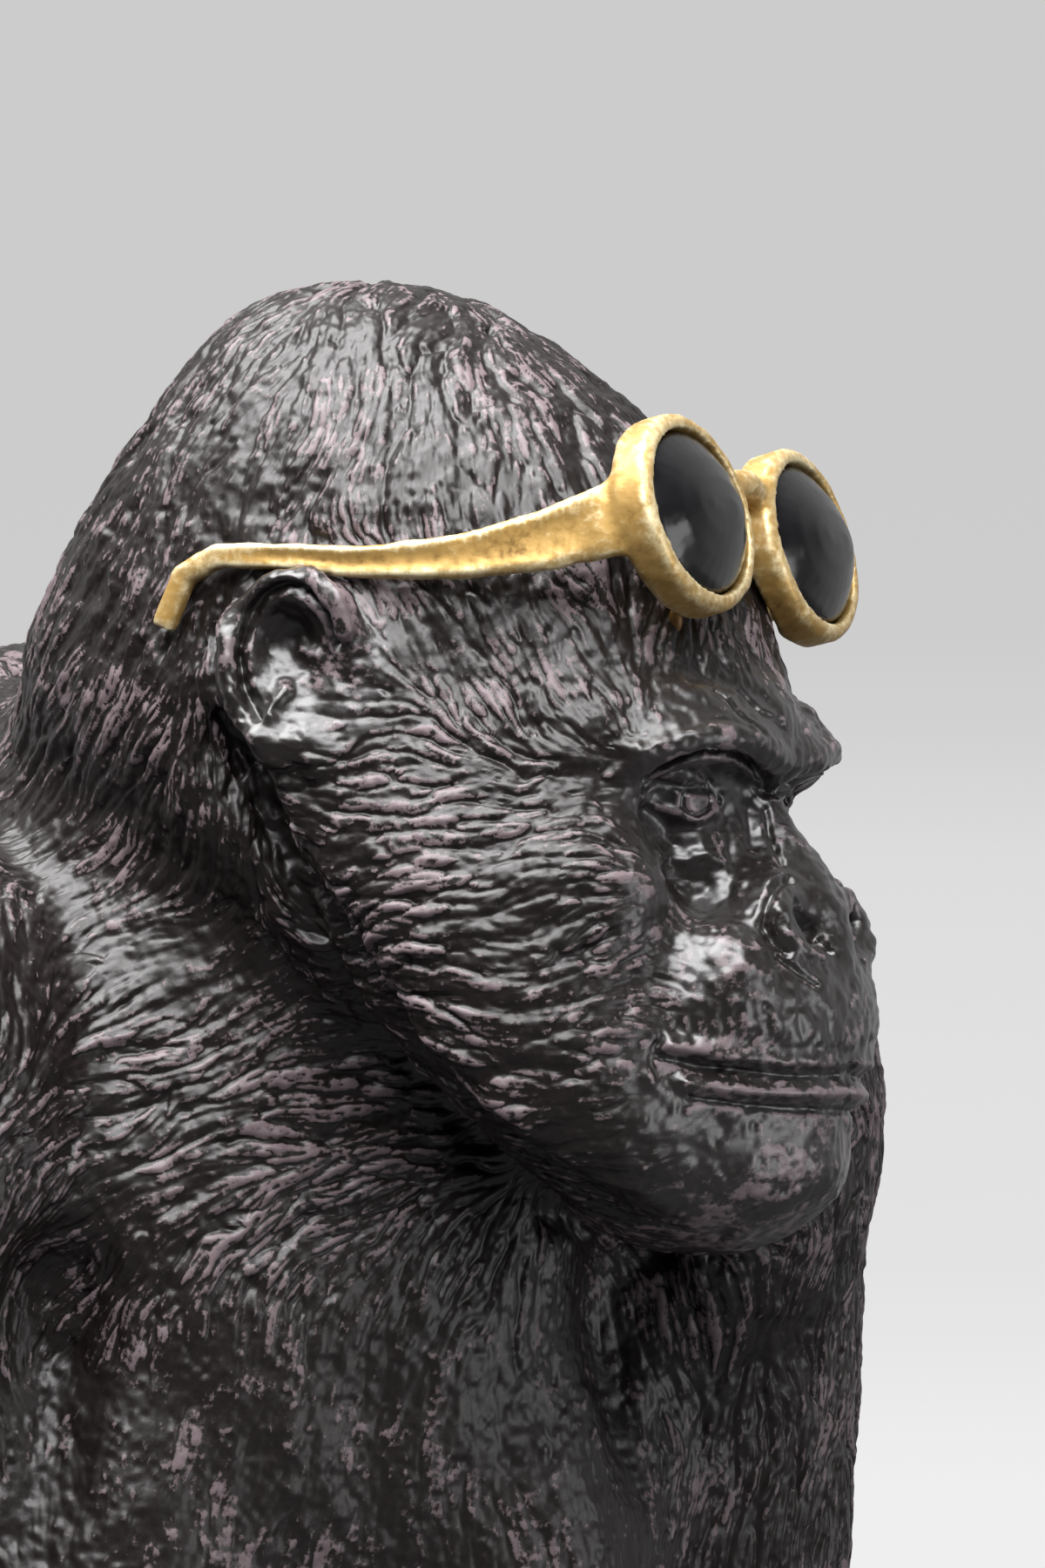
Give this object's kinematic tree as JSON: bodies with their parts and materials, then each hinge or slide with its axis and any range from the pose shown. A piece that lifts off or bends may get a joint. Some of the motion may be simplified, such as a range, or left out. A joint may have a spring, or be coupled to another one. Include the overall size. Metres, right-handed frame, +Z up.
{
  "type": "gorilla figurine",
  "caption": "Cast resin gorilla on its knuckles, head turned to one side, with a separately cast pair of gilded sunglasses pushed up on the forehead.",
  "frame": {"origin": "on the ground, under the middle of the figure's box", "axes": "+Z up, the gorilla's trunk faces -Y, its left side is +X, its head is turned 40 degrees toward +X"},
  "size_m": [0.2118, 0.3582, 0.3903],
  "materials": {
    "resin": "near-black cast resin, dry-brushed mauve grey on the raised hair, satin varnish",
    "gold": "brushed-on gold paint, uneven satin",
    "smoked_lens": "opaque black gloss"
  },
  "bodies": {
    "root": {"gorilla": "resin", "glasses_frame": "gold", "lens_left": "smoked_lens", "lens_right": "smoked_lens"}
  },
  "joints": []
}
